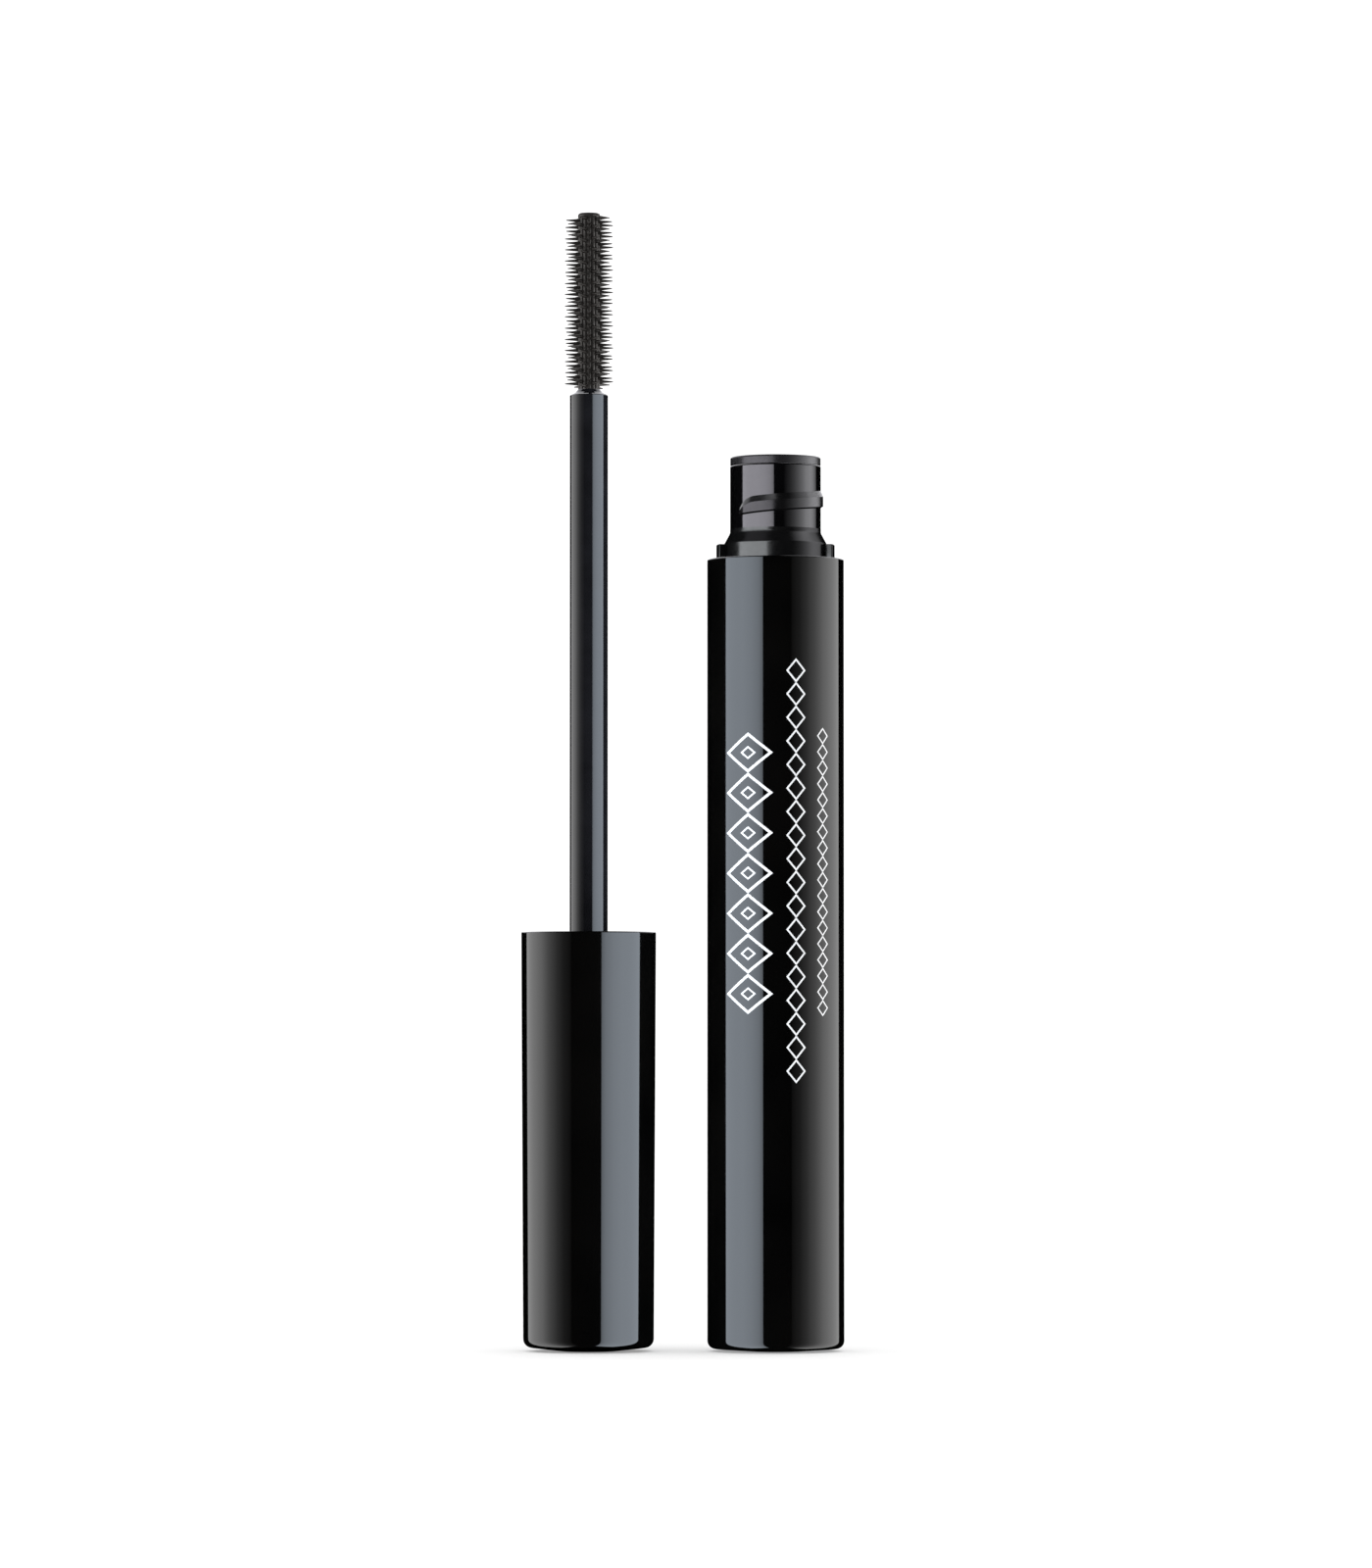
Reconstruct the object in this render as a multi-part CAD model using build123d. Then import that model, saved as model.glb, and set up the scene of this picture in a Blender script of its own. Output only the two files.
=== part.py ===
from build123d import *
import math
import os

# Millimetres. The tube stands on the origin, +Z up. The cap and its wand stand beside it at -X,
# upside down on the cap's closed end, with the brush pointing up.

# ---- driving dimensions: tube side, heights above the table ----
SLEEVE_RADIUS = 7.0
SLEEVE_HEIGHT = 81.0
SLEEVE_WALL = 0.7
SLEEVE_FLOOR = 1.0
SLEEVE_FOOT_RADIUS = 3.0
SLEEVE_BASE_CROWN = 0.3
SLEEVE_BASE_ROUND = 0.8
SLEEVE_RIM_ROUND = 0.12

NECK_RADIUS = 4.645
NECK_TOP = 90.6
NECK_BOTTOM = 83.7
NECK_BORE = 3.6
SHOULDER_RADIUS = 5.25
SHOULDER_TOP = 82.6
SHOULDER_STEP = 79.5
BOTTLE_WALL = 1.0
BOTTLE_CAVITY_TOP = 74.0
BOTTLE_BORE_START = 77.0
LUG_RADIUS = 6.07
LUG_TOP = 82.5
LUG_HALF_ANGLE = 18.0

WIPER_FLANGE_RADIUS = 4.63
WIPER_TOP = 91.5
WIPER_SKIRT_INNER = 3.06
WIPER_LIP_RADIUS = 2.05
WIPER_LIP_LAND = 0.8
WIPER_LIP_LOW = 79.6
WIPER_CONE_TOP = 83.4
WIPER_CONE_WALL = 0.7

FILL_TOP = 70.0
FILL_CHANNEL_RADIUS = 3.0
FILL_CHANNEL_FLOOR = 6.2

# ---- driving dimensions: thread, one right-hand bead and its partner in the cap ----
THREAD_LEAD = 2.4
THREAD_START = -140.0
THREAD_TURN = 280.0
THREAD_START_HEIGHT = 86.05
THREAD_PROUD = 0.25
THREAD_FADE = 28.0
THREAD_STEP = 10.0
THREAD_BURIED = 0.25
THREAD_SUNK_SHARE = 0.6
BEAD_ROOT_BELOW = 0.94
BEAD_ROOT_ABOVE = 1.58
BEAD_CREST_HALF = 0.5
PARTNER_DROP = 1.45
PARTNER_TURN = 300.0
PARTNER_ROOT_HALF = 0.5
PARTNER_CREST_HALF = 0.25
PARTNER_CREST_RADIUS = 4.75

# ---- driving dimensions: cap and wand, heights above the cap's closed end ----
AXIS_SPACING = 19.15
CAP_LENGTH = 42.8
CAP_RADIUS_OPEN = 6.9
CAP_RADIUS_CLOSED = 6.675
CAP_WALL = 0.6
CAP_END_WALL = 1.5
CAP_FOOT_RADIUS = 2.9
CAP_END_CROWN = 0.45
CAP_END_ROUND = 0.9
CAP_RIM_ROUND = 0.12
LABEL_RADIUS = 2.3
LABEL_THICKNESS = 0.12
LABEL_RECESS = 0.3

LINER_LOW = 24.0
LINER_HIGH = 40.8
LINER_BORE = 5.05
LINER_WEB_LOW = 30.0
LINER_WEB_HIGH = 31.5
SOCKET_OUTER = 3.2
SOCKET_LOW = 22.5
SOCKET_FLOOR = 24.2

GASKET_OUTER = 4.95
GASKET_THICKNESS = 0.95

ROD_RADIUS = 1.95
ROD_END = 97.83
ROD_CORNER = 0.12
ROD_TIP = 98.5
ROD_TIP_RADIUS = 1.12
ROD_HOLE_DEPTH = 6.0

PIN_RADIUS = 0.9
CORE_NECK_RADIUS = 1.07
CORE_RADIUS = 1.12
CORE_LOW = 98.55
BRISTLE_LOW = 98.75
BRISTLE_HIGH = 116.335
BRISTLE_FIRST = 98.16
BRISTLE_PITCH = 1.15
BRISTLE_RINGS = 17
BRISTLE_RING_TILT = 6.3
BRISTLE_HALF_SHIFT = 0.15
BRISTLE_ROWS = 15
BRISTLE_ROW_ANGLE = 8.0
BRISTLE_TIP_RADIUS = 2.5
BRISTLE_BASE_HALF = 0.2
BRISTLE_TIP_HALF = 0.06
KNOB_RADIUS = 1.13
KNOB_LOW = 116.2
WAND_LENGTH = 116.65
KNOB_ROUND = 0.3

# ---- fits and tolerances ----
PRESSED = 0.05
LOOSE = 0.05
SNUG = 0.02
SAME_SIZE = 0.01

# ---- joint geometry, which the record repeats ----
CLOSED_GAP = 0.25
HOVER_GAP = 8.0
CLOSED_SUM = SLEEVE_HEIGHT + CLOSED_GAP + CAP_LENGTH
PIVOT_X = -AXIS_SPACING / 2
PIVOT_HEIGHT = (WIPER_TOP + HOVER_GAP + WAND_LENGTH) / 2
INSERT_TRAVEL = 2 * PIVOT_HEIGHT - CLOSED_SUM


def lathe(points):
    """The solid that a closed outline of (radius, height) points makes about the Z axis."""
    outline = Polyline(*[(r, 0, z) for r, z in points], close=True)
    return revolve(make_face(outline), Axis.Z)


def circles_at(solid, height, radius):
    """The solid's circular edges of one radius at one height."""
    return [
        e
        for e in solid.edges().filter_by(GeomType.CIRCLE)
        if abs(e.arc_center.Z - height) < SAME_SIZE and abs(e.radius - radius) < SAME_SIZE
    ]


def from_closed(solid):
    """Takes a solid drawn where it is on the closed mascara into the wand's own upright frame."""
    return Pos(0, 0, CLOSED_SUM) * Rot(0, 180, 0) * solid


def on_wand(solid):
    """Takes a solid from the wand's own frame to its place beside the tube."""
    return Pos(-AXIS_SPACING, 0, 0) * solid


def helical_bead(buried, crest, below, above, crest_half, start_height, turn):
    """A bead that climbs to the right round the neck, and sinks into its wall at both ends."""
    steps = round(turn / THREAD_STEP)
    sunk = buried + (crest - buried) * THREAD_SUNK_SHARE
    sections = []
    for i in range(steps + 1):
        turned = turn * i / steps
        fade = min(1.0, turned / THREAD_FADE, (turn - turned) / THREAD_FADE)
        r_crest = sunk + (crest - sunk) * math.sin(fade * math.pi / 2)
        z = start_height + THREAD_LEAD * turned / 360
        angle = math.radians(THREAD_START + turned)
        corners = [
            (buried, z - below),
            (r_crest, z - crest_half),
            (r_crest, z + crest_half),
            (buried, z + above),
        ]
        ring = [(r * math.cos(angle), r * math.sin(angle), h) for r, h in corners]
        sections.append(make_face(Polyline(*ring, close=True)))
    return loft(sections, ruled=True)


# ---- tube side ----

def tube_sleeve():
    inner = SLEEVE_RADIUS - SLEEVE_WALL
    body = lathe([
        (0, 0),
        (SLEEVE_FOOT_RADIUS, 0),
        (SLEEVE_RADIUS, SLEEVE_BASE_CROWN),
        (SLEEVE_RADIUS, SLEEVE_HEIGHT),
        (inner, SLEEVE_HEIGHT),
        (inner, SLEEVE_FLOOR),
        (0, SLEEVE_FLOOR),
    ])
    body = fillet(circles_at(body, SLEEVE_BASE_CROWN, SLEEVE_RADIUS), SLEEVE_BASE_ROUND)
    return fillet(circles_at(body, SLEEVE_HEIGHT, SLEEVE_RADIUS), SLEEVE_RIM_ROUND)


def stop_lug(side):
    """One of the two stops beside the shoulder: side is +1 or -1 along X."""
    ring = Cylinder(LUG_RADIUS, LUG_TOP - SHOULDER_STEP, align=(Align.CENTER, Align.CENTER, Align.MIN))
    ring -= Cylinder(SHOULDER_RADIUS - THREAD_BURIED, 2 * LUG_TOP)
    reach = 2 * LUG_RADIUS
    rise = reach * math.tan(math.radians(LUG_HALF_ANGLE))
    wedge = make_face(Polyline((0, 0), (side * reach, -rise), (side * reach, rise), close=True))
    wedge = extrude(wedge, LUG_TOP)
    return Pos(0, 0, SHOULDER_STEP) * (ring & wedge)


def inner_bottle():
    outer = SLEEVE_RADIUS - SLEEVE_WALL - PRESSED
    cavity = outer - BOTTLE_WALL
    low = SLEEVE_FLOOR
    body = lathe([
        (0, low),
        (outer, low),
        (outer, SHOULDER_STEP),
        (SHOULDER_RADIUS, SHOULDER_STEP),
        (SHOULDER_RADIUS, SHOULDER_TOP),
        (NECK_RADIUS, NECK_BOTTOM),
        (NECK_RADIUS, NECK_TOP),
        (NECK_BORE, NECK_TOP),
        (NECK_BORE, BOTTLE_BORE_START),
        (cavity, BOTTLE_CAVITY_TOP),
        (cavity, low + BOTTLE_WALL),
        (0, low + BOTTLE_WALL),
    ])
    body += stop_lug(-1)
    body += stop_lug(1)
    body += helical_bead(
        NECK_RADIUS - THREAD_BURIED,
        NECK_RADIUS + THREAD_PROUD,
        BEAD_ROOT_BELOW,
        BEAD_ROOT_ABOVE,
        BEAD_CREST_HALF,
        THREAD_START_HEIGHT,
        THREAD_TURN,
    )
    return body


def wiper():
    skirt = NECK_BORE - PRESSED
    lip_top = WIPER_LIP_LOW + WIPER_LIP_LAND
    return lathe([
        (WIPER_LIP_RADIUS, WIPER_LIP_LOW),
        (WIPER_LIP_RADIUS + WIPER_CONE_WALL, WIPER_LIP_LOW),
        (skirt, WIPER_CONE_TOP - WIPER_LIP_LAND),
        (skirt, NECK_TOP),
        (WIPER_FLANGE_RADIUS, NECK_TOP),
        (WIPER_FLANGE_RADIUS, WIPER_TOP),
        (WIPER_SKIRT_INNER, WIPER_TOP),
        (WIPER_SKIRT_INNER, WIPER_CONE_TOP),
        (WIPER_LIP_RADIUS, lip_top),
    ])


def mascara_fill():
    outer = SLEEVE_RADIUS - SLEEVE_WALL - PRESSED - BOTTLE_WALL - LOOSE
    low = SLEEVE_FLOOR + BOTTLE_WALL + LOOSE
    return lathe([
        (0, low),
        (outer, low),
        (outer, FILL_TOP),
        (FILL_CHANNEL_RADIUS, FILL_TOP),
        (FILL_CHANNEL_RADIUS, FILL_CHANNEL_FLOOR),
        (0, FILL_CHANNEL_FLOOR),
    ])


# ---- cap side, drawn about its own axis with the closed end at height 0 ----

def cap_radius(height):
    """The over-cap's outer radius, which grows evenly towards its open end."""
    return CAP_RADIUS_CLOSED + (CAP_RADIUS_OPEN - CAP_RADIUS_CLOSED) * height / CAP_LENGTH


def cap_shell():
    corner = cap_radius(CAP_END_CROWN)
    body = lathe([
        (0, LABEL_RECESS),
        (LABEL_RADIUS + LOOSE, LABEL_RECESS),
        (LABEL_RADIUS + LOOSE, 0),
        (CAP_FOOT_RADIUS, 0),
        (corner, CAP_END_CROWN),
        (CAP_RADIUS_OPEN, CAP_LENGTH),
        (CAP_RADIUS_OPEN - CAP_WALL, CAP_LENGTH),
        (cap_radius(CAP_END_WALL) - CAP_WALL, CAP_END_WALL),
        (0, CAP_END_WALL),
    ])
    body = fillet(circles_at(body, CAP_END_CROWN, corner), CAP_END_ROUND)
    return fillet(circles_at(body, CAP_LENGTH, CAP_RADIUS_OPEN), CAP_RIM_ROUND)


def inner_cap():
    def outer(height):
        return cap_radius(height) - CAP_WALL - PRESSED

    hole = ROD_RADIUS + SNUG
    body = lathe([
        (0, SOCKET_LOW),
        (SOCKET_OUTER, SOCKET_LOW),
        (SOCKET_OUTER, LINER_WEB_LOW),
        (LINER_BORE, LINER_WEB_LOW),
        (LINER_BORE, LINER_LOW),
        (outer(LINER_LOW), LINER_LOW),
        (outer(LINER_HIGH), LINER_HIGH),
        (LINER_BORE, LINER_HIGH),
        (LINER_BORE, LINER_WEB_HIGH),
        (hole, LINER_WEB_HIGH),
        (hole, SOCKET_FLOOR),
        (0, SOCKET_FLOOR),
    ])
    body += from_closed(helical_bead(
        LINER_BORE + THREAD_BURIED,
        PARTNER_CREST_RADIUS,
        PARTNER_ROOT_HALF,
        PARTNER_ROOT_HALF,
        PARTNER_CREST_HALF,
        THREAD_START_HEIGHT - PARTNER_DROP,
        PARTNER_TURN,
    ))
    return body


def cap_gasket():
    low = LINER_WEB_HIGH + LOOSE
    inner = ROD_RADIUS + LOOSE
    return lathe([
        (inner, low),
        (GASKET_OUTER, low),
        (GASKET_OUTER, low + GASKET_THICKNESS),
        (inner, low + GASKET_THICKNESS),
    ])


def rod():
    hole = PIN_RADIUS + SNUG
    return lathe([
        (0, SOCKET_FLOOR),
        (ROD_RADIUS, SOCKET_FLOOR),
        (ROD_RADIUS, ROD_END),
        (ROD_RADIUS - ROD_CORNER, ROD_END + ROD_CORNER),
        (ROD_TIP_RADIUS, ROD_TIP),
        (hole, ROD_TIP),
        (hole, ROD_TIP - ROD_HOLE_DEPTH),
        (0, ROD_TIP - ROD_HOLE_DEPTH),
    ])


def brush_core():
    body = lathe([
        (0, ROD_TIP - ROD_HOLE_DEPTH + LOOSE),
        (PIN_RADIUS, ROD_TIP - ROD_HOLE_DEPTH + LOOSE),
        (PIN_RADIUS, ROD_TIP),
        (CORE_NECK_RADIUS, ROD_TIP),
        (CORE_NECK_RADIUS, CORE_LOW),
        (CORE_RADIUS, CORE_LOW),
        (CORE_RADIUS, KNOB_LOW),
        (KNOB_RADIUS, KNOB_LOW),
        (KNOB_RADIUS, WAND_LENGTH),
        (0, WAND_LENGTH),
    ])
    return fillet(circles_at(body, WAND_LENGTH, KNOB_RADIUS), KNOB_ROUND)


def brush_bristles():
    """Rows of tapering bristles. Each row stands a third of the pitch below the one before. The
    rings lean back a little, and the mould's -X half is shifted against the other."""
    foot = CORE_RADIUS + SNUG
    length = BRISTLE_TIP_RADIUS - foot
    bristle = Cone(
        BRISTLE_BASE_HALF,
        BRISTLE_TIP_HALF,
        length,
        align=(Align.CENTER, Align.CENTER, Align.MIN),
    )
    lying = Pos(foot, 0, 0) * Rot(0, 90, 0) * bristle
    rise = BRISTLE_TIP_RADIUS * math.tan(math.radians(BRISTLE_RING_TILT))
    bristles = []
    for row in range(BRISTLE_ROWS):
        around = BRISTLE_ROW_ANGLE + 360 * row / BRISTLE_ROWS
        lift = BRISTLE_PITCH * (-row % 3) / 3 + rise * math.sin(math.radians(around))
        if math.cos(math.radians(around)) < 0:
            lift += BRISTLE_HALF_SHIFT
        for ring in range(BRISTLE_RINGS):
            height = BRISTLE_FIRST + lift + BRISTLE_PITCH * ring
            if BRISTLE_LOW <= height <= BRISTLE_HIGH:
                bristles.append(Pos(0, 0, height) * Rot(0, 0, around) * lying)
    return Compound(children=bristles)


def cap_end_label():
    top = LABEL_RECESS - LOOSE
    return lathe([
        (0, top - LABEL_THICKNESS),
        (LABEL_RADIUS, top - LABEL_THICKNESS),
        (LABEL_RADIUS, top),
        (0, top),
    ])


TUBE_SIDE = [tube_sleeve, inner_bottle, wiper, mascara_fill]
CAP_SIDE = [cap_shell, inner_cap, cap_gasket, rod, brush_core, brush_bristles, cap_end_label]

os.makedirs("parts", exist_ok=True)
for piece in TUBE_SIDE:
    export_step(piece(), f"parts/{piece.__name__}.step")
for piece in CAP_SIDE:
    export_step(on_wand(piece()), f"parts/{piece.__name__}.step")

print(f"turn-over pivot: x {PIVOT_X:.3f}, z {PIVOT_HEIGHT:.3f}; insert travel {INSERT_TRAVEL:.3f}")
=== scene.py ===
import math
import random

import bmesh
import bpy
from mathutils import Matrix, Vector


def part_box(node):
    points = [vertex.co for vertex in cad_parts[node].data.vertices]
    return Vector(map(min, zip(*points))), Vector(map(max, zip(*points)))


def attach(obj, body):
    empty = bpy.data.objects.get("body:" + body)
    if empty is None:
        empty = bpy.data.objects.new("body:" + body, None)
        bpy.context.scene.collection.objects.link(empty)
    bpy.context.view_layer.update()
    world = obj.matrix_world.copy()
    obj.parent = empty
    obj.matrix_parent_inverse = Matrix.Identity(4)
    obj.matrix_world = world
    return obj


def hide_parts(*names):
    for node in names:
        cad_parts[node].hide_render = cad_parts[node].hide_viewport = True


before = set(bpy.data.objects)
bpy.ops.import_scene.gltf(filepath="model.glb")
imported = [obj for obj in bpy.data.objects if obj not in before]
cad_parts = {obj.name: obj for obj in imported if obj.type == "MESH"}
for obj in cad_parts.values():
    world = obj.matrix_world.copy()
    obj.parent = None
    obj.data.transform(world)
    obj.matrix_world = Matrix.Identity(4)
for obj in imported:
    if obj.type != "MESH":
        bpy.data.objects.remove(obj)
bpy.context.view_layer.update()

# Lengths are metres. MM turns millimetres into them.
MM = 0.001
PRESS_GAP = 0.05 * MM


# ---- the frame's own places and sizes ----

def node_box(node):
    low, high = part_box(node)
    return Vector(low), Vector(high)


def radius_of(node):
    low, high = node_box(node)
    return (high.x - low.x) / 2


SLEEVE_HIGH = node_box("tube_sleeve")[1]
BOTTLE_LOW = node_box("inner_bottle")[0]
WIPER_LOW, WIPER_HIGH = node_box("wiper")
FILL_LOW, FILL_HIGH = node_box("mascara_fill")
CAP_LOW, CAP_HIGH = node_box("cap_shell")
ROD_LOW, ROD_HIGH = node_box("rod")
CORE_LOW, CORE_HIGH = node_box("brush_core")
LABEL_LOW, LABEL_HIGH = node_box("cap_end_label")

WAND_X = (CAP_LOW.x + CAP_HIGH.x) / 2
SLEEVE_R = radius_of("tube_sleeve")
ROD_R = radius_of("rod")

# ---- the pieces' own dimensions ----
NECK_R = 4.645 * MM
NECK_LOW = 83.7 * MM
SHOULDER_R = 5.25 * MM
SHOULDER_HIGH = 82.6 * MM
SHOULDER_STEP = 79.5 * MM
NECK_BORE = 3.6 * MM
BOTTLE_WALL = 1.0 * MM
LUG_R = 6.07 * MM
LUG_HIGH = 82.5 * MM
LUG_HALF_ANGLE = math.radians(18)
SLEEVE_WALL = 0.7 * MM
SLEEVE_FLOOR = 1.0 * MM
SLEEVE_ROUND = 0.8 * MM
SLEEVE_FOOT_R = 3.0 * MM
SLEEVE_CROWN = 0.3 * MM
CAP_WALL = 0.6 * MM
CAP_CLOSED_R = 6.675 * MM
CAP_END_WALL = 1.5 * MM
LABEL_RECESS = 0.3 * MM
CAP_FOOT_R = 2.9 * MM
CAP_CROWN = 0.45 * MM
CAP_ROUND = 0.9 * MM
CAP_FACE_R = 6.45 * MM
SKIN_PROUD = 0.004 * MM
SKIN_SUNK = 0.05 * MM
WIPER_LIP_R = 2.05 * MM
WIPER_SKIRT_R = 3.55 * MM
WIPER_MOUTH_R = 3.06 * MM
WIPER_FLANGE = 0.9 * MM

THREAD_LEAD = 2.4 * MM
THREAD_PROUD = 0.25 * MM
THREAD_START = math.radians(-142)
THREAD_TURN = math.radians(281.5)
THREAD_FADE = math.radians(24)
THREAD_START_Z = 86.02 * MM
THREAD_CREST_HALF = 0.5 * MM
THREAD_FOOT_BELOW = 0.72 * MM
THREAD_FOOT_ABOVE = 1.35 * MM

BRISTLE_ROWS = 15
BRISTLE_RINGS = 17
BRISTLE_PITCH = 1.15 * MM
BRISTLE_FIRST = 98.16 * MM
BRISTLE_LOW = 98.75 * MM
BRISTLE_HIGH = 116.335 * MM
BRISTLE_RING_TILT = math.radians(6.3)
BRISTLE_HALF_SHIFT = 0.15 * MM
BRISTLE_ROW_ANGLE = math.radians(8)
BRISTLE_TIP_R = 2.5 * MM
BRISTLE_THICK = 0.155 * MM
BRISTLE_THIN = 0.05 * MM
CORE_R = 1.12 * MM
CORE_NECK_R = 1.07 * MM
CORE_START = 98.55 * MM
KNOB_R = 1.13 * MM
KNOB_LOW = 116.2 * MM

# ---- ornament: azimuth in degrees, then low end, high end, count, half width and stroke ----
ORNAMENT_COLUMNS = [
    (-24.3, 34.4 * MM, 63.0 * MM, 7, 2.4 * MM, 0.27 * MM),
    (16.6, 27.4 * MM, 70.5 * MM, 18, 0.92 * MM, 0.17 * MM),
    (42.4, 34.2 * MM, 63.5 * MM, 18, 0.66 * MM, 0.13 * MM),
]
PRINT_PROUD = 0.018 * MM
PRINT_SUNK = 0.02 * MM


# ---- materials ----

def new_material(name):
    material = bpy.data.materials.new(name)
    material.use_nodes = True
    tree = material.node_tree
    shader = tree.nodes["Principled BSDF"]
    return material, tree, shader


def noise(tree, scale, detail=3.0, roughness=0.55, stretch=(1, 1, 1)):
    """A noise over object space, in metres, which may be stretched."""
    where = tree.nodes.new("ShaderNodeTexCoord")
    mapping = tree.nodes.new("ShaderNodeMapping")
    mapping.inputs["Scale"].default_value = stretch
    texture = tree.nodes.new("ShaderNodeTexNoise")
    texture.inputs["Scale"].default_value = scale
    texture.inputs["Detail"].default_value = detail
    texture.inputs["Roughness"].default_value = roughness
    tree.links.new(where.outputs["Object"], mapping.inputs["Vector"])
    tree.links.new(mapping.outputs["Vector"], texture.inputs["Vector"])
    return texture.outputs["Fac"]


def ramp(tree, fac, stops):
    """A colour ramp: stops are (position, grey or colour)."""
    node = tree.nodes.new("ShaderNodeValToRGB")
    elements = node.color_ramp.elements
    while len(elements) < len(stops):
        elements.new(0.5)
    for element, (position, value) in zip(elements, stops):
        element.position = position
        colour = value if isinstance(value, tuple) else (value, value, value)
        element.color = (*colour, 1)
    tree.links.new(fac, node.inputs["Fac"])
    return node.outputs["Color"]


def spread(tree, fac, low, high):
    """Maps a noise to a range of values."""
    node = tree.nodes.new("ShaderNodeMapRange")
    node.inputs["From Min"].default_value = 0.3
    node.inputs["From Max"].default_value = 0.7
    node.inputs["To Min"].default_value = low
    node.inputs["To Max"].default_value = high
    tree.links.new(fac, node.inputs["Value"])
    return node.outputs["Result"]


def bump(tree, shader, height, distance, strength=1.0):
    node = tree.nodes.new("ShaderNodeBump")
    node.inputs["Distance"].default_value = distance
    node.inputs["Strength"].default_value = strength
    tree.links.new(height, node.inputs["Height"])
    tree.links.new(node.outputs["Normal"], shader.inputs["Normal"])


def gloss_black():
    """High gloss black lacquer with a faint orange peel and hairline polish marks."""
    material, tree, shader = new_material("gloss_black_lacquer")
    tone = noise(tree, 90, 2)
    shade = ramp(tree, tone, [(0.3, (0.0004, 0.0004, 0.0004)), (0.7, (0.0012, 0.0011, 0.001))])
    tree.links.new(shade, shader.inputs["Base Color"])
    marks = noise(tree, 700, 4, 0.7, stretch=(1, 1, 0.08))
    tree.links.new(spread(tree, marks, 0.025, 0.075), shader.inputs["Roughness"])
    shader.inputs["IOR"].default_value = 1.5
    bump(tree, shader, noise(tree, 420, 2, 0.4), 0.0000012, 0.35)
    return material


def moulded_black(name, low=0.05, high=0.12, tint=(0.006, 0.006, 0.007)):
    """Polished moulded plastic: near black, a little softer than the lacquer."""
    material, tree, shader = new_material(name)
    dark = tuple(c * 0.6 for c in tint)
    shade = ramp(tree, noise(tree, 300, 3), [(0.3, dark), (0.7, tint)])
    tree.links.new(shade, shader.inputs["Base Color"])
    tree.links.new(spread(tree, noise(tree, 1500, 3), low, high), shader.inputs["Roughness"])
    shader.inputs["IOR"].default_value = 1.48
    bump(tree, shader, noise(tree, 900, 3), 0.000002, 0.4)
    return material


def satin(name, colour, low, high, grain=2600, depth=0.000004):
    """A satin moulded surface with a fine erosion grain."""
    material, tree, shader = new_material(name)
    dark = tuple(c * 0.82 for c in colour)
    shade = ramp(tree, noise(tree, 500, 4), [(0.3, dark), (0.7, colour)])
    tree.links.new(shade, shader.inputs["Base Color"])
    tree.links.new(spread(tree, noise(tree, grain, 3), low, high), shader.inputs["Roughness"])
    bump(tree, shader, noise(tree, grain, 4), depth, 0.6)
    return material


def paste(name):
    """The wet product: black, wavy and shiny."""
    material, tree, shader = new_material(name)
    shade = ramp(tree, noise(tree, 600, 4), [(0.3, (0.003, 0.003, 0.003)), (0.7, (0.012, 0.011, 0.01))])
    tree.links.new(shade, shader.inputs["Base Color"])
    tree.links.new(spread(tree, noise(tree, 900, 4), 0.15, 0.4), shader.inputs["Roughness"])
    bump(tree, shader, noise(tree, 1100, 4), 0.00012, 0.7)
    return material


def silver_print():
    """Pale silver screen print, with the slight unevenness of the ink."""
    material, tree, shader = new_material("silver_print")
    shade = ramp(tree, noise(tree, 1800, 3), [(0.3, (0.55, 0.55, 0.55)), (0.7, (0.7, 0.7, 0.7))])
    tree.links.new(shade, shader.inputs["Base Color"])
    shader.inputs["Metallic"].default_value = 0.1
    tree.links.new(spread(tree, noise(tree, 2500, 3), 0.3, 0.5), shader.inputs["Roughness"])
    bump(tree, shader, noise(tree, 3500, 3), 0.000003, 0.4)
    return material


# ---- mesh helpers ----

def softened(corners, steps=6):
    """An outline of (radius, height) points from corners (radius, height, rounding).
    A rounded corner becomes an arc, with a supporting point just outside each end of it."""
    outline = []
    count = len(corners)
    for i, (r, z, rounding) in enumerate(corners):
        here = Vector((r, z))
        if not rounding:
            outline.append((r, z))
            continue
        before = Vector(corners[i - 1][:2]) - here
        after = Vector(corners[(i + 1) % count][:2]) - here
        turn = before.angle(after)
        reach = rounding / math.tan(turn / 2)
        start = here + before.normalized() * reach
        end = here + after.normalized() * reach
        middle = (before.normalized() + after.normalized()).normalized()
        centre = here + middle * (rounding / math.sin(turn / 2))
        support = rounding * 0.25
        outline.append(tuple(start + before.normalized() * support))
        first, last = start - centre, end - centre
        sweep = first.angle_signed(last)
        for k in range(steps + 1):
            arm = first.copy()
            arm.rotate(Matrix.Rotation(-sweep * k / steps, 2))
            outline.append(tuple(centre + arm))
        outline.append(tuple(end + after.normalized() * support))
    return outline


def finished(name, bm, material, smooth_angle=35):
    """Turns a bmesh into an object with one material and smooth, angle-limited shading."""
    bmesh.ops.recalc_face_normals(bm, faces=bm.faces)
    mesh = bpy.data.meshes.new(name)
    bm.to_mesh(mesh)
    bm.free()
    mesh.polygons.foreach_set("use_smooth", [True] * len(mesh.polygons))
    mesh.set_sharp_from_angle(angle=math.radians(smooth_angle))
    mesh.materials.append(material)
    piece = bpy.data.objects.new(name, mesh)
    bpy.context.scene.collection.objects.link(piece)
    return piece


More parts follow.
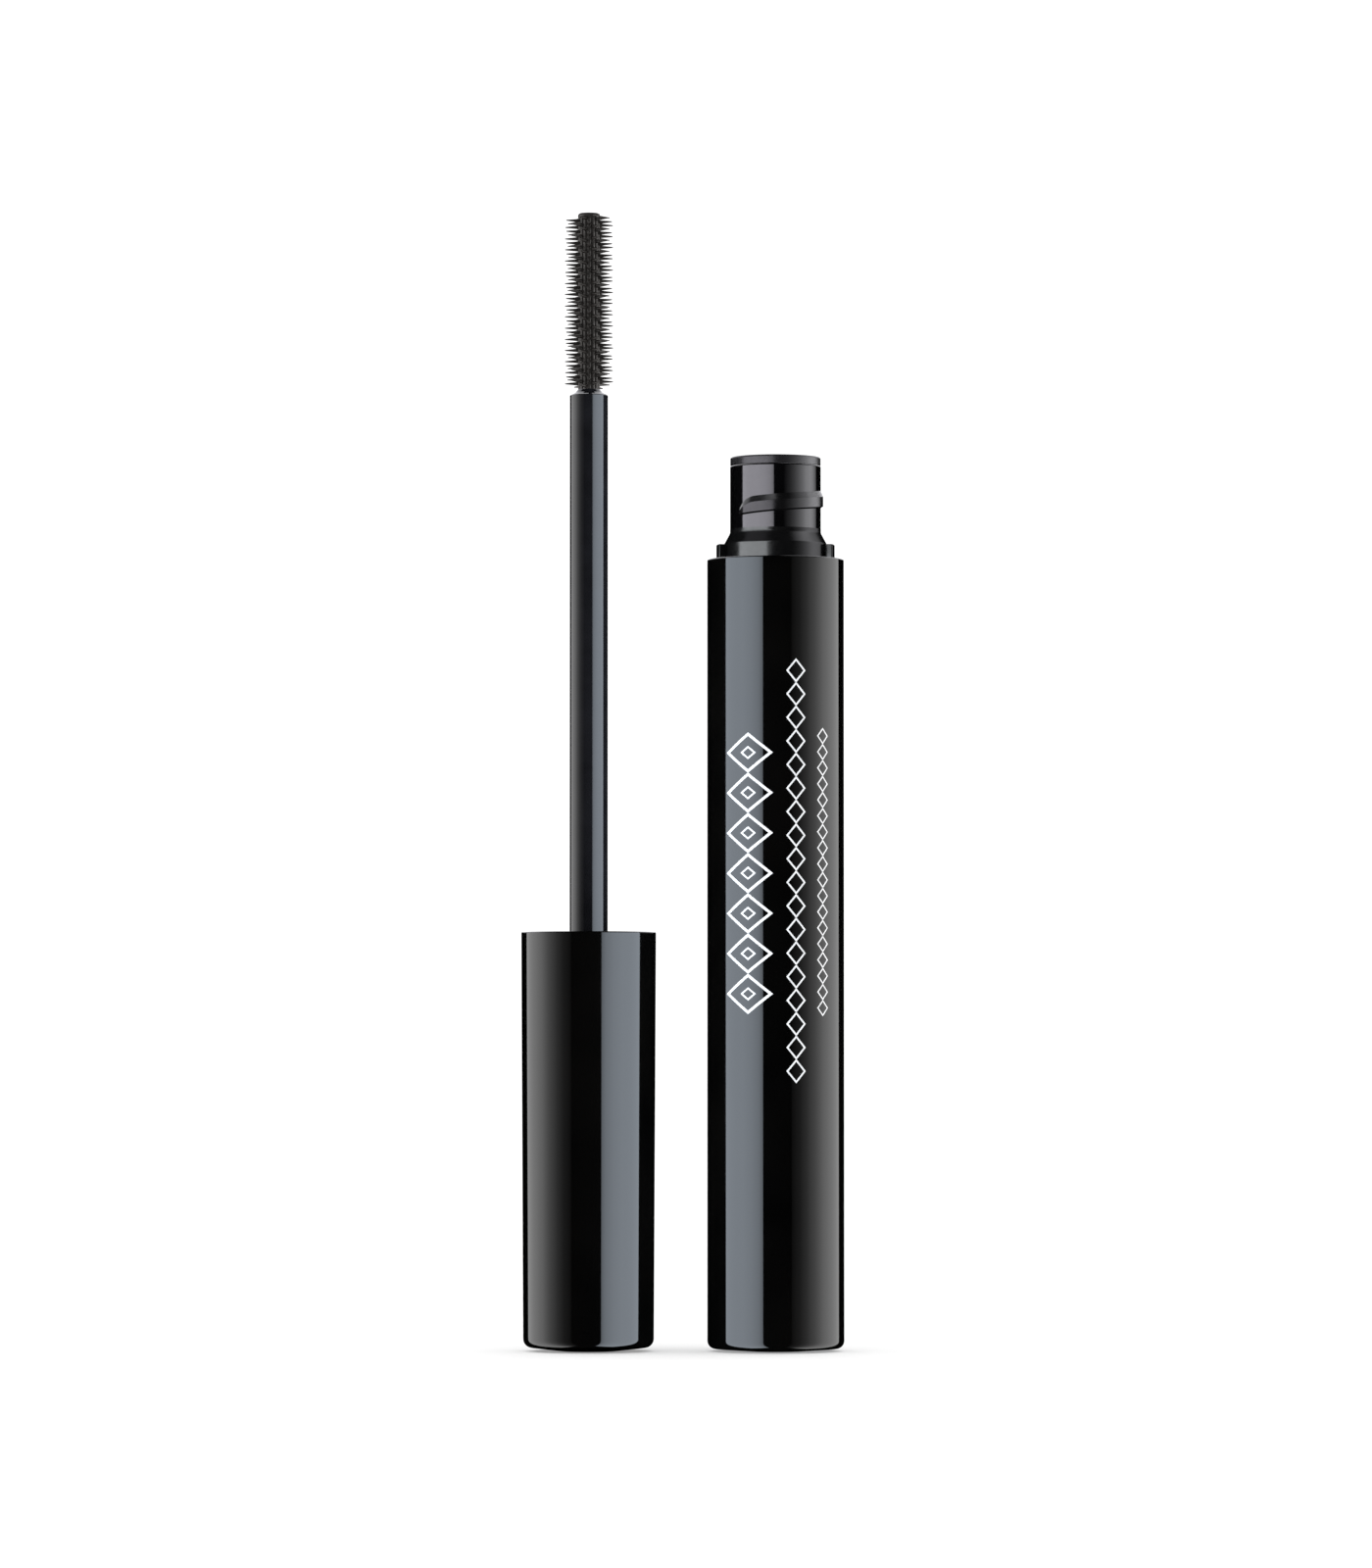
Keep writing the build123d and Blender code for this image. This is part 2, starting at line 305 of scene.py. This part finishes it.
def lathe_bmesh(outline, x=0.0, around=192, wobble=None):
    """The closed surface that a closed (radius, height) outline makes about a vertical axis at x.
    wobble(radius, angle, height) may change each point's radius."""
    bm = bmesh.new()
    rings = []
    for r, z in outline:
        if r < 1e-7:
            rings.append([bm.verts.new((x, 0, z))])
            continue
        ring = []
        for k in range(around):
            angle = 2 * math.pi * k / around
            reach = wobble(r, angle, z) if wobble else r
            ring.append(bm.verts.new((x + reach * math.cos(angle), reach * math.sin(angle), z)))
        rings.append(ring)
    for a, b in zip(rings, rings[1:] + rings[:1]):
        if len(a) == 1 and len(b) == 1:
            continue
        for k in range(around):
            n = (k + 1) % around
            corners = [a[k % len(a)], a[n % len(a)], b[n % len(b)], b[k % len(b)]]
            face = list(dict.fromkeys(corners))
            bm.faces.new(face)
    return bm


def lathe(name, corners, material, x=0.0, around=192, steps=6):
    return finished(name, lathe_bmesh(softened(corners, steps), x, around), material)


def stands_for(piece, body, node):
    piece.visible_glossy = False
    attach(piece, body)
    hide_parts(node)


# ---- tube side ----

def make_sleeve(material):
    inner = SLEEVE_R - SLEEVE_WALL
    top = SLEEVE_HIGH.z
    piece = lathe("tube_sleeve_lacquered", [
        (0, 0, 0),
        (SLEEVE_FOOT_R, 0, 0.5 * MM),
        (SLEEVE_R, SLEEVE_CROWN, SLEEVE_ROUND),
        (SLEEVE_R, top, 0.14 * MM),
        (inner, top, 0.1 * MM),
        (inner, SLEEVE_FLOOR, 0.3 * MM),
        (0, SLEEVE_FLOOR, 0),
    ], material, around=256)
    stands_for(piece, "tube", "tube_sleeve")


def ease(t):
    t = min(1.0, max(0.0, t))
    return t * t * (3 - 2 * t)


def make_bead(material):
    """The thread: one bead that climbs round the neck. Each end narrows to a point."""
    bm = bmesh.new()
    steps = 140
    sections = []
    for i in range(steps + 1):
        turned = THREAD_TURN * i / steps
        from_end = min(turned, THREAD_TURN - turned)
        widening = 0.35 + 0.65 * math.sin(min(1.0, from_end / THREAD_FADE) * math.pi / 2)
        rising = 0.3 + 0.7 * ease(from_end / THREAD_FADE * 3)
        middle = THREAD_START_Z + THREAD_LEAD * turned / (2 * math.pi)
        crest = NECK_R + THREAD_PROUD * rising
        buried = NECK_R - 0.1 * MM
        low = middle - THREAD_CREST_HALF
        high = low + 2 * THREAD_CREST_HALF * widening
        foot = high + (THREAD_FOOT_ABOVE - THREAD_CREST_HALF) * (0.8 + 0.2 * widening)
        outline = softened([
            (buried, middle - THREAD_FOOT_BELOW, 0),
            (crest, low, 0.05 * MM),
            (crest, high, 0.09 * MM * widening),
            (buried, foot, 0),
        ], 5)
        angle = THREAD_START + turned
        sections.append([bm.verts.new((r * math.cos(angle), r * math.sin(angle), z)) for r, z in outline])
    count = len(sections[0])
    for a, b in zip(sections, sections[1:]):
        for k in range(count):
            n = (k + 1) % count
            bm.faces.new([a[k], a[n], b[n], b[k]])
    bm.faces.new(sections[0])
    bm.faces.new(sections[-1][::-1])
    stands_for(finished("thread_bead", bm, material, 50), "tube", "inner_bottle")


def make_bottle(material):
    outer = SLEEVE_R - SLEEVE_WALL - PRESS_GAP
    cavity = outer - BOTTLE_WALL
    low = BOTTLE_LOW.z
    top = WIPER_HIGH.z - WIPER_FLANGE
    piece = lathe("bottle_with_neck", [
        (0, low, 0),
        (outer, low, 0.3 * MM),
        (outer, SHOULDER_STEP, 0.1 * MM),
        (NECK_R, SHOULDER_STEP, 0),
        (NECK_R, top, 0.12 * MM),
        (NECK_BORE, top, 0.08 * MM),
        (NECK_BORE, 77 * MM, 0),
        (cavity, 74 * MM, 0),
        (cavity, low + BOTTLE_WALL, 0),
        (0, low + BOTTLE_WALL, 0),
    ], material, around=256)
    stands_for(piece, "tube", "inner_bottle")


def make_shoulder(material):
    """The collar that the neck rises from: a short cylinder, a rounded edge and a cone."""
    inner = NECK_R - 0.2 * MM
    skin = NECK_R + 0.008 * MM
    blend = NECK_LOW + 0.4 * MM
    piece = lathe("bottle_shoulder", [
        (inner, SHOULDER_STEP, 0),
        (SHOULDER_R, SHOULDER_STEP, 0),
        (SHOULDER_R, SHOULDER_HIGH, 0.22 * MM),
        (skin, NECK_LOW, 0.5 * MM),
        (skin, blend, 0),
        (inner, blend, 0),
    ], material, around=256, steps=10)
    stands_for(piece, "tube", "inner_bottle")


def make_lug(material, side):
    """One stop lug: a bevelled block that follows the shoulder's curve."""
    bm = bmesh.new()
    steps = 10
    facing = 0 if side > 0 else math.pi
    low, high = SHOULDER_STEP, LUG_HIGH
    inner = SHOULDER_R - 0.15 * MM
    columns = []
    for i in range(steps + 1):
        angle = facing + LUG_HALF_ANGLE * (2 * i / steps - 1)
        ring = []
        for r, z in [(inner, low), (LUG_R, low), (LUG_R, high), (inner, high)]:
            ring.append(bm.verts.new((r * math.cos(angle), r * math.sin(angle), z)))
        columns.append(ring)
    for a, b in zip(columns, columns[1:]):
        for k in range(4):
            bm.faces.new([a[k], a[(k + 1) % 4], b[(k + 1) % 4], b[k]])
    bm.faces.new(columns[0])
    bm.faces.new(columns[-1][::-1])
    bmesh.ops.recalc_face_normals(bm, faces=bm.faces)
    sharp = [e for e in bm.edges if e.calc_face_angle(0) > math.radians(40)]
    bmesh.ops.bevel(bm, geom=sharp, offset=0.09 * MM, segments=3, profile=0.5, affect="EDGES")
    piece = finished("stop_lug_right" if side > 0 else "stop_lug_left", bm, material, 40)
    stands_for(piece, "tube", "inner_bottle")


def make_wiper(material):
    top, low = WIPER_HIGH.z, WIPER_LOW.z
    flange = top - WIPER_FLANGE
    radius = radius_of("wiper")
    piece = lathe("wiper_insert", [
        (WIPER_LIP_R, low, 0.1 * MM),
        (WIPER_LIP_R + 0.7 * MM, low, 0.1 * MM),
        (WIPER_SKIRT_R, 82.6 * MM, 0.3 * MM),
        (WIPER_SKIRT_R, flange, 0),
        (radius, flange, 0.1 * MM),
        (radius, top, 0.16 * MM),
        (WIPER_MOUTH_R, top, 0.3 * MM),
        (WIPER_MOUTH_R, 83.4 * MM, 0.5 * MM),
        (WIPER_LIP_R, low + 0.8 * MM, 0.15 * MM),
    ], material, around=192)
    stands_for(piece, "tube", "wiper")


def lozenge(bm, azimuth, z, half_width, half_height, stroke):
    """A thin raised diamond outline that lies on the sleeve: azimuth 0 faces the front (-Y)."""
    slant = math.hypot(half_width, half_height)
    grow_wide = stroke / 2 * slant / half_height
    grow_high = stroke / 2 * slant / half_width
    steps = 8
    loops = []
    for grow, lift in [(1, -PRINT_SUNK), (1, PRINT_PROUD), (-1, PRINT_PROUD), (-1, -PRINT_SUNK)]:
        wide, high = half_width + grow * grow_wide, half_height + grow * grow_high
        corners = [(wide, 0), (0, high), (-wide, 0), (0, -high)]
        loop = []
        for (u0, v0), (u1, v1) in zip(corners, corners[1:] + corners[:1]):
            for k in range(steps):
                u, v = u0 + (u1 - u0) * k / steps, v0 + (v1 - v0) * k / steps
                angle = azimuth + u / SLEEVE_R
                reach = SLEEVE_R + lift
                loop.append(bm.verts.new((reach * math.sin(angle), -reach * math.cos(angle), z + v)))
        loops.append(loop)
    count = len(loops[0])
    for a, b in zip(loops, loops[1:] + loops[:1]):
        for k in range(count):
            n = (k + 1) % count
            bm.faces.new([a[k], a[n], b[n], b[k]])


def make_ornament(material):
    """Three printed columns of diamond outlines up the sleeve's front."""
    bm = bmesh.new()
    for azimuth, low, high, count, half_width, stroke in ORNAMENT_COLUMNS:
        pitch = (high - low) / count
        for i in range(count):
            z = low + pitch * (i + 0.5)
            lozenge(bm, math.radians(azimuth), z, half_width, pitch * 0.46, stroke)
            if half_width > 2 * MM:
                lozenge(bm, math.radians(azimuth), z, half_width * 0.3, pitch * 0.14, stroke * 0.6)
    piece = finished("sleeve_ornament_print", bm, material, 30)
    piece.visible_glossy = False
    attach(piece, "tube")


def make_fill(material):
    """The product, with the uneven channel that the wand leaves."""
    outer = radius_of("mascara_fill") - 0.02 * MM
    channel = 3.1 * MM
    low, high = FILL_LOW.z, FILL_HIGH.z
    floor = 6.0 * MM
    rings = 90
    wall = [(channel, high - 0.6 * MM - (high - floor) * i / rings) for i in range(rings)]
    outline = [(0, low), (outer, low), (outer, high - 1.2 * MM), (outer - 0.8 * MM, high - 0.5 * MM)]
    outline += [(channel + 0.7 * MM, high - 0.3 * MM)] + wall + [(0, floor)]

    def wobble(r, angle, z):
        if r > channel + 0.1 * MM:
            return r
        wave = math.sin(3 * angle + 900 * z) + math.sin(5 * angle - 1700 * z + 1)
        return r + 0.12 * MM * wave

    bm = lathe_bmesh(outline, around=96, wobble=wobble)
    stands_for(finished("mascara_paste", bm, material, 60), "tube", "mascara_fill")


# ---- cap side ----

def make_cap(material):
    top = CAP_HIGH.z
    open_r = radius_of("cap_shell")
    label_r = radius_of("cap_end_label") + PRESS_GAP
    inner_low = CAP_CLOSED_R - CAP_WALL
    piece = lathe("cap_shell_lacquered", [
        (0, LABEL_RECESS, 0),
        (label_r, LABEL_RECESS, 0),
        (label_r, 0, 0.08 * MM),
        (CAP_FOOT_R, 0, 0.2 * MM),
        (CAP_CLOSED_R, CAP_CROWN, CAP_ROUND),
        (open_r, top, 0.14 * MM),
        (open_r - CAP_WALL, top, 0.1 * MM),
        (inner_low, CAP_END_WALL, 0.3 * MM),
        (0, CAP_END_WALL, 0),
    ], material, x=WAND_X, around=256)
    stands_for(piece, "wand", "cap_shell")


def cap_end_curve(offset):
    """The closed end's outline from the label to the rounded edge, moved outward by an offset."""
    inner = radius_of("cap_end_label") + 0.15 * MM
    side = CAP_CLOSED_R + offset
    curve = softened([
        (inner, -offset, 0),
        (CAP_FOOT_R, -offset, 0.2 * MM),
        (side, CAP_CROWN - offset, CAP_ROUND + offset),
        (side, 4 * CAP_ROUND, 0),
        (inner, 4 * CAP_ROUND, 0),
    ], 12)
    return [(r, z) for r, z in curve if r <= CAP_FACE_R and z < 3 * CAP_ROUND]


def make_cap_end(material):
    """The crowned face round the label, a skin on the cap so that it can be lit on its own."""
    outline = cap_end_curve(SKIN_PROUD) + cap_end_curve(-SKIN_SUNK)[::-1]
    bm = lathe_bmesh(outline, WAND_X, 256)
    stands_for(finished("cap_end_face", bm, material), "wand", "cap_shell")


def make_rod(material):
    high = ROD_HIGH.z
    corner = 97.9 * MM
    piece = lathe("applicator_rod", [
        (0, ROD_LOW.z, 0),
        (ROD_R, ROD_LOW.z, 0.1 * MM),
        (ROD_R, corner, 0.1 * MM),
        (1.72 * MM, corner + 0.1 * MM, 0.05 * MM),
        (1.38 * MM, corner + 0.3 * MM, 0.15 * MM),
        (1.14 * MM, high, 0.05 * MM),
        (0.92 * MM, high, 0),
        (0.92 * MM, high - 6 * MM, 0),
        (0, high - 6 * MM, 0),
    ], material, x=WAND_X, around=128)
    stands_for(piece, "wand", "rod")


def make_core(material):
    """The brush's core: longitudinal ribs that carry the bristles, and the flat tip knob."""
    low, high = CORE_LOW.z, CORE_HIGH.z
    rings = 120
    pin = 0.9 * MM
    body = []
    for i in range(rings + 1):
        body.append((CORE_R, CORE_START + (KNOB_LOW - CORE_START) * i / rings))
    outline = [(0, low), (pin, low), (pin, ROD_HIGH.z), (CORE_NECK_R, ROD_HIGH.z)]
    outline += [(CORE_NECK_R, CORE_START - 0.05 * MM)] + body
    outline += softened([
        (CORE_R, KNOB_LOW + 0.01 * MM, 0),
        (KNOB_R, KNOB_LOW + 0.1 * MM, 0.05 * MM),
        (KNOB_R, high, 0.28 * MM),
        (0, high, 0),
    ])

    def wobble(r, angle, z):
        if not CORE_START <= z <= KNOB_LOW:
            return r
        rib = abs(math.cos((angle - BRISTLE_ROW_ANGLE) * BRISTLE_ROWS / 2))
        return r - 0.12 * MM * (1 - rib ** 0.7)

    bm = lathe_bmesh(outline, x=WAND_X, around=180, wobble=wobble)
    stands_for(finished("brush_core_moulded", bm, material, 60), "wand", "brush_core")


def add_bristle(bm, foot, direction, droop, length, thick, thin):
    """One slender tapering bristle, bent a little, with a rounded end."""
    sides, steps = 8, 6
    side = direction.cross(Vector((0, 0, 1))).normalized()
    up = side.cross(direction).normalized()
    rings = []
    for i in range(steps + 1):
        t = i / steps
        centre = foot + direction * (length * t) + droop * (length * t * t)
        radius = thick * (1 - t) + thin
        ring = []
        for k in range(sides):
            a = 2 * math.pi * k / sides
            ring.append(bm.verts.new(centre + (side * math.cos(a) + up * math.sin(a)) * radius))
        rings.append(ring)
    tip = bm.verts.new(foot + direction * (length + thin) + droop * length)
    for a, b in zip(rings, rings[1:]):
        for k in range(sides):
            n = (k + 1) % sides
            bm.faces.new([a[k], a[n], b[n], b[k]])
    bm.faces.new(rings[0][::-1])
    for k in range(sides):
        bm.faces.new([rings[-1][k], rings[-1][(k + 1) % sides], tip])


def make_bristles(material):
    """Fifteen rows of moulded bristles. Each row stands a third of the pitch below the one before.
    The rings lean back a little, and the mould's -X half is shifted against the other."""
    dice = random.Random(7)
    bm = bmesh.new()
    foot_r = CORE_R - 0.1 * MM
    for row in range(BRISTLE_ROWS):
        around = BRISTLE_ROW_ANGLE + 2 * math.pi * row / BRISTLE_ROWS
        leaning = BRISTLE_TIP_R * math.tan(BRISTLE_RING_TILT) * math.sin(around)
        lift = BRISTLE_PITCH * (-row % 3) / 3 + leaning
        if math.cos(around) < 0:
            lift += BRISTLE_HALF_SHIFT
        for ring in range(BRISTLE_RINGS):
            z = BRISTLE_FIRST + lift + BRISTLE_PITCH * ring
            if not BRISTLE_LOW <= z <= BRISTLE_HIGH:
                continue
            angle = around + dice.uniform(-0.012, 0.012)
            lean = dice.uniform(-0.012, 0.012)
            direction = Vector((math.cos(angle), math.sin(angle), lean)).normalized()
            droop = Vector((dice.uniform(-1, 1), dice.uniform(-1, 1), dice.uniform(-1, 1))) * 0.012
            foot = Vector((WAND_X, 0, z)) + direction * foot_r
            length = BRISTLE_TIP_R - foot_r - dice.uniform(0.03, 0.07) * MM
            add_bristle(bm, foot, direction, droop, length, BRISTLE_THICK, BRISTLE_THIN)
    piece = finished("brush_bristle_rows", bm, material, 70)
    stands_for(piece, "wand", "brush_bristles")


def make_label(material):
    radius = radius_of("cap_end_label")
    piece = lathe("cap_end_disc", [
        (0, LABEL_LOW.z, 0),
        (radius, LABEL_LOW.z, 0.04 * MM),
        (radius, LABEL_HIGH.z, 0.04 * MM),
        (0, LABEL_HIGH.z, 0),
    ], material, x=WAND_X, around=128, steps=3)
    stands_for(piece, "wand", "cap_end_label")


# ---- making ----

def make_pieces():
    lacquer = gloss_black()
    neck = moulded_black("moulded_neck_black", 0.05, 0.1, (0.0009, 0.0009, 0.001))
    rod = moulded_black("moulded_rod_black", 0.04, 0.09)
    soft_neck = moulded_black("moulded_neck_soft_black", 0.16, 0.24, (0.002, 0.002, 0.0021))
    make_sleeve(lacquer)
    make_bottle(neck)
    make_bead(soft_neck)
    make_shoulder(soft_neck)
    make_lug(soft_neck, 1)
    make_lug(soft_neck, -1)
    make_wiper(satin("wiper_satin_black", (0.006, 0.006, 0.0065), 0.2, 0.28))
    make_ornament(silver_print())
    make_fill(paste("mascara_wet"))
    make_cap(lacquer)
    make_cap_end(lacquer)
    make_rod(rod)
    brush = satin("brush_elastomer", (0.022, 0.0195, 0.018), 0.35, 0.5)
    make_core(brush)
    make_bristles(brush)
    make_label(satin("end_label_satin", (0.02, 0.02, 0.022), 0.4, 0.6))


def dress_cad_nodes():
    """The two cap-side nodes whose CAD shape is right get their own finish."""
    finishes = {
        "inner_cap": satin("liner_satin_black", (0.012, 0.012, 0.013), 0.35, 0.55),
        "cap_gasket": satin("gasket_soft_white", (0.62, 0.6, 0.55), 0.5, 0.7),
    }
    for node, material in finishes.items():
        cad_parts[node].visible_glossy = False
        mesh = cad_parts[node].data
        mesh.materials.clear()
        mesh.materials.append(material)


# ---- camera, floor and light ----

EYE_DISTANCE = 753 * MM
EYE_LENS = 168.8
EYE_HEIGHT = 31.6 * MM
AIM = Vector((-9.18 * MM, 0, 57.98 * MM))
FLOOR_LIFT = 0.3


def make_camera():
    data = bpy.data.cameras.new("camera")
    data.sensor_width = 36
    data.lens = EYE_LENS
    data.clip_start, data.clip_end = 0.01, 50
    camera = bpy.data.objects.new("camera", data)
    camera.location = (AIM.x, -EYE_DISTANCE, EYE_HEIGHT)
    camera.rotation_euler = (AIM - camera.location).to_track_quat("-Z", "Y").to_euler()
    bpy.context.scene.collection.objects.link(camera)
    bpy.context.scene.camera = camera


def make_floor():
    """A white floor that glows a little, so that the shadow under the rounded ends stays pale."""
    bm = bmesh.new()
    bmesh.ops.create_grid(bm, x_segments=4, y_segments=4, size=6)
    mesh = bpy.data.meshes.new("floor")
    bm.to_mesh(mesh)
    bm.free()
    material, tree, shader = new_material("floor_white")
    shade = ramp(tree, noise(tree, 3, 2), [(0.3, 0.76), (0.7, 0.78)])
    tree.links.new(shade, shader.inputs["Base Color"])
    shader.inputs["Roughness"].default_value = 0.9
    shader.inputs["Specular IOR Level"].default_value = 0.1
    shader.inputs["Emission Color"].default_value = (1, 1, 1, 1)
    shader.inputs["Emission Strength"].default_value = FLOOR_LIFT
    mesh.materials.append(material)
    floor = bpy.data.objects.new("floor", mesh)
    floor.location.z = -0.02 * MM
    floor.visible_glossy = False
    bpy.context.scene.collection.objects.link(floor)


def make_world():
    world = bpy.data.worlds.new("studio_white")
    world.use_nodes = True
    background = world.node_tree.nodes["Background"]
    background.inputs["Color"].default_value = (1, 1, 1, 1)
    background.inputs["Strength"].default_value = 1.15
    world.cycles_visibility.glossy = False
    bpy.context.scene.world = world


def lit_by(names):
    """A collection of the pieces that a light shines on."""
    group = bpy.data.collections.new("lit_" + names[0])
    for name in names:
        group.objects.link(bpy.data.objects[name])
    return group


def card(name, start, end, radiance, colour, names, gradient=None, low=-0.95, high=0.5):
    """A tall light card round the object, from one angle to another: 0 is towards the camera and
    90 is to the right. It shines on the named pieces only. gradient dims it towards one side."""
    distance = 1.0
    middle, half = math.radians((start + end) / 2), math.radians(abs(end - start) / 2)
    width, height = 2 * distance * math.tan(half), high - low
    data = bpy.data.lights.new(name, "AREA")
    data.shape = "RECTANGLE"
    data.size, data.size_y = width, height
    data.energy = radiance * math.pi * width * height
    data.color = colour
    light = bpy.data.objects.new(name, data)
    place = Vector((math.sin(middle), -math.cos(middle), 0)) * distance
    place.z = (low + high) / 2
    light.location = place
    light.rotation_euler = (-Vector((place.x, place.y, 0))).to_track_quat("-Z", "Y").to_euler()
    light.visible_camera = False
    bpy.context.scene.collection.objects.link(light)
    light.light_linking.receiver_collection = lit_by(names)
    light.light_linking.blocker_collection = lit_by(names)
    if gradient:
        shade_card(data, gradient, mirrored=start > end)
    return light


def shade_card(data, stops, mirrored):
    """Grades a light card's brightness from its first edge to its second."""
    if mirrored:
        stops = [(1 - position, value) for position, value in reversed(stops)]
    data.use_nodes = True
    tree = data.node_tree
    emission = next(n for n in tree.nodes if n.type == "EMISSION")
    geometry = tree.nodes.new("ShaderNodeNewGeometry")
    split = tree.nodes.new("ShaderNodeSeparateXYZ")
    tree.links.new(geometry.outputs["Parametric"], split.inputs["Vector"])
    tree.links.new(ramp(tree, split.outputs["X"], stops), emission.inputs["Color"])


TUBE_PIECES = ["tube_sleeve_lacquered", "sleeve_ornament_print"]
NECK_PIECES = ["bottle_with_neck"]
SOFT_PIECES = ["thread_bead", "wiper_insert"]
SHOULDER_PIECES = ["bottle_shoulder", "stop_lug_right", "stop_lug_left"]
WAND_PIECES = ["cap_shell_lacquered", "applicator_rod"]
BRUSH_PIECES = ["brush_core_moulded", "brush_bristle_rows"]
END_PIECES = ["cap_end_face", "cap_end_disc"]
BELOW_FLOOR = -3.0


def make_lights():
    cool = (0.8, 0.89, 1.0)
    glow = [(0.0, 0.02), (0.2, 0.09), (0.31, 0.22), (0.43, 0.5), (0.55, 0.92), (0.65, 1.0), (1.0, 0.82)]
    neck_glow = [(0.0, 0.0), (0.1, 0.036), (0.23, 0.1), (0.32, 0.22), (0.4, 0.41)]
    neck_glow += [(0.48, 0.66), (0.57, 0.98), (0.68, 0.95), (0.83, 0.43), (1.0, 0.05)]
    hump = [(0.0, 0.0), (0.2, 0.15), (0.31, 0.4), (0.4, 0.68), (0.48, 1.0)]
    hump += [(0.57, 0.9), (0.7, 0.48), (0.9, 0.15), (1.0, 0.0)]
    band = [(0.0, 0.5), (0.12, 0.76), (0.3, 0.92), (0.5, 1.0), (1.0, 0.9)]
    card("tube_band", -22, -93.5, 5.4, cool, TUBE_PIECES, band, low=BELOW_FLOOR)
    card("tube_glow", 26, 132.5, 2.45, (1, 1, 1), TUBE_PIECES, glow, low=BELOW_FLOOR)
    violet = (0.93, 0.91, 1.0)
    pale = (0.96, 0.96, 1.0)
    card("neck_band", -5, -93, 6.9, violet, NECK_PIECES, band, high=0.22)
    card("neck_glow", 20, 127, 4.2, pale, NECK_PIECES, neck_glow, high=0.22)
    card("soft_band", -5, -93, 4.4, violet, SOFT_PIECES, band, high=0.25)
    card("soft_glow", 20, 138, 4.2, pale, SOFT_PIECES, neck_glow, high=0.25)
    card("soft_upper_right", 35, 140, 2.0, pale, SOFT_PIECES, hump, low=0.3, high=1.7)
    card("soft_upper_left", -5, -95, 2.0, pale, SOFT_PIECES, low=1.2, high=2.5)
    card("shoulder_band", -19, -90, 6.2, (0.93, 0.97, 1.0), SHOULDER_PIECES, high=0.22)
    card("shoulder_glow", 40, 142, 2.0, pale, SHOULDER_PIECES, hump, high=0.22)
    card("shoulder_upper_left", -12, -97, 3.0, (0.93, 0.97, 1.0), SHOULDER_PIECES, low=0.22, high=0.75)
    card("shoulder_high_left", -12, -97, 0.35, violet, SHOULDER_PIECES, low=0.75, high=1.9)
    card("shoulder_upper_right", 45, 142, 2.3, pale, SHOULDER_PIECES, hump, low=0.22, high=1.9)
    card("wand_band", 22, 99, 5.4, cool, WAND_PIECES, band, low=BELOW_FLOOR)
    card("wand_glow", -30, -132, 2.45, (1, 1, 1), WAND_PIECES, glow, low=BELOW_FLOOR)
    for group in (TUBE_PIECES, NECK_PIECES, SOFT_PIECES, WAND_PIECES, END_PIECES):
        card("rim_right_" + group[0], 95, 178, 1.5, pale, group, low=0.25, high=1.5)
        card("rim_left_" + group[0], -95, -178, 1.5, pale, group, low=0.25, high=1.5)
    card("brush_left", -60, -120, 3.2, (1, 0.98, 0.96), BRUSH_PIECES)
    card("brush_right", 60, 120, 3.2, (1, 0.98, 0.96), BRUSH_PIECES)


make_camera()
make_pieces()
dress_cad_nodes()
make_floor()
make_world()
make_lights()
bpy.context.scene.view_settings.view_transform = "Standard"
